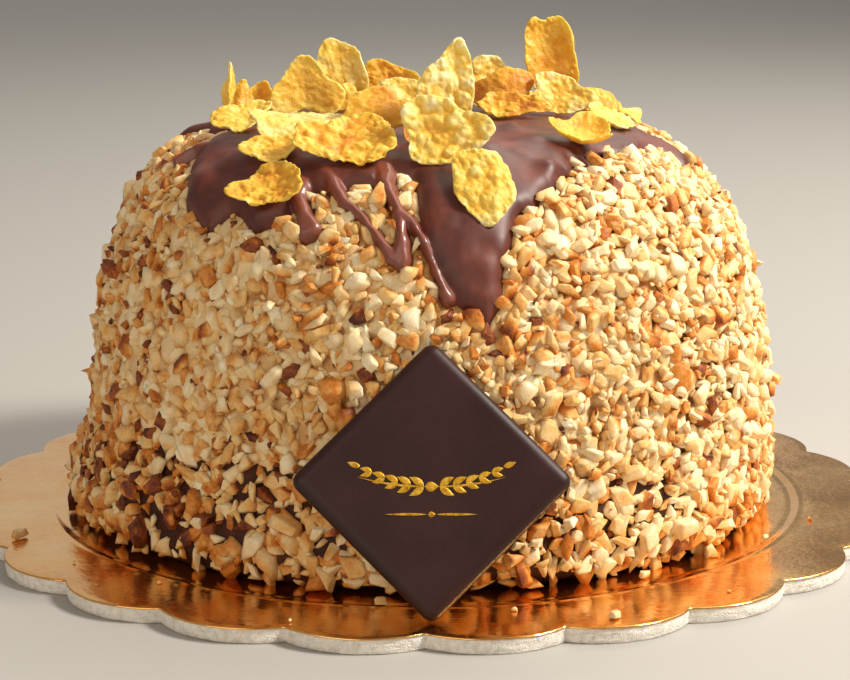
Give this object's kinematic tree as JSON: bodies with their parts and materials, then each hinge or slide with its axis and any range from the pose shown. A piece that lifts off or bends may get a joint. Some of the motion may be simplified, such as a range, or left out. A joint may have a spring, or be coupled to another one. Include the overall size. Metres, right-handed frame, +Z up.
{
  "type": "zuccotto cake",
  "caption": "Whole domed semifreddo cake coated in chopped nuts, with poured chocolate and cornflakes on its crown and a square chocolate plaque, on a scalloped gold cake board.",
  "frame": {"origin": "on the underside of the cake board, at the middle of its outline", "axes": "+Z up; the front, where the plaque leans, faces -Y; +X is to the right seen from the front"},
  "size_m": [0.2394, 0.239, 0.128],
  "materials": {
    "gold_board": "mirror foil in copper gold, pressed with fine rings, rolled over pale grey card",
    "dark_layer": "soft dark chocolate cream, almost hidden by chopped hazelnuts",
    "nut_cream": "pale nut cream rolled in chopped toasted hazelnuts",
    "poured_chocolate": "set poured milk chocolate, smooth with a soft sheen, glossier at its drips",
    "plaque_chocolate": "moulded dark chocolate with a dull purple-brown sheen",
    "corn_flake": "crisp blistered cornflake, golden yellow with toasted rims"
  },
  "bodies": {
    "root": {"cake_board": "gold_board", "chocolate_base": "dark_layer", "gelato_dome": "nut_cream", "chocolate_glaze": "poured_chocolate", "chocolate_plaque": "plaque_chocolate", "cornflake_01": "corn_flake", "cornflake_02": "corn_flake", "cornflake_03": "corn_flake", "cornflake_04": "corn_flake", "cornflake_05": "corn_flake", "cornflake_06": "corn_flake", "cornflake_07": "corn_flake", "cornflake_08": "corn_flake", "cornflake_09": "corn_flake", "cornflake_10": "corn_flake", "cornflake_11": "corn_flake", "cornflake_12": "corn_flake", "cornflake_13": "corn_flake", "cornflake_14": "corn_flake", "cornflake_15": "corn_flake", "cornflake_16": "corn_flake", "cornflake_17": "corn_flake", "cornflake_18": "corn_flake", "cornflake_19": "corn_flake", "cornflake_20": "corn_flake", "cornflake_21": "corn_flake", "cornflake_22": "corn_flake", "cornflake_23": "corn_flake", "cornflake_24": "corn_flake", "cornflake_25": "corn_flake", "cornflake_26": "corn_flake", "cornflake_27": "corn_flake", "cornflake_28": "corn_flake", "cornflake_29": "corn_flake", "cornflake_30": "corn_flake"}
  },
  "joints": []
}
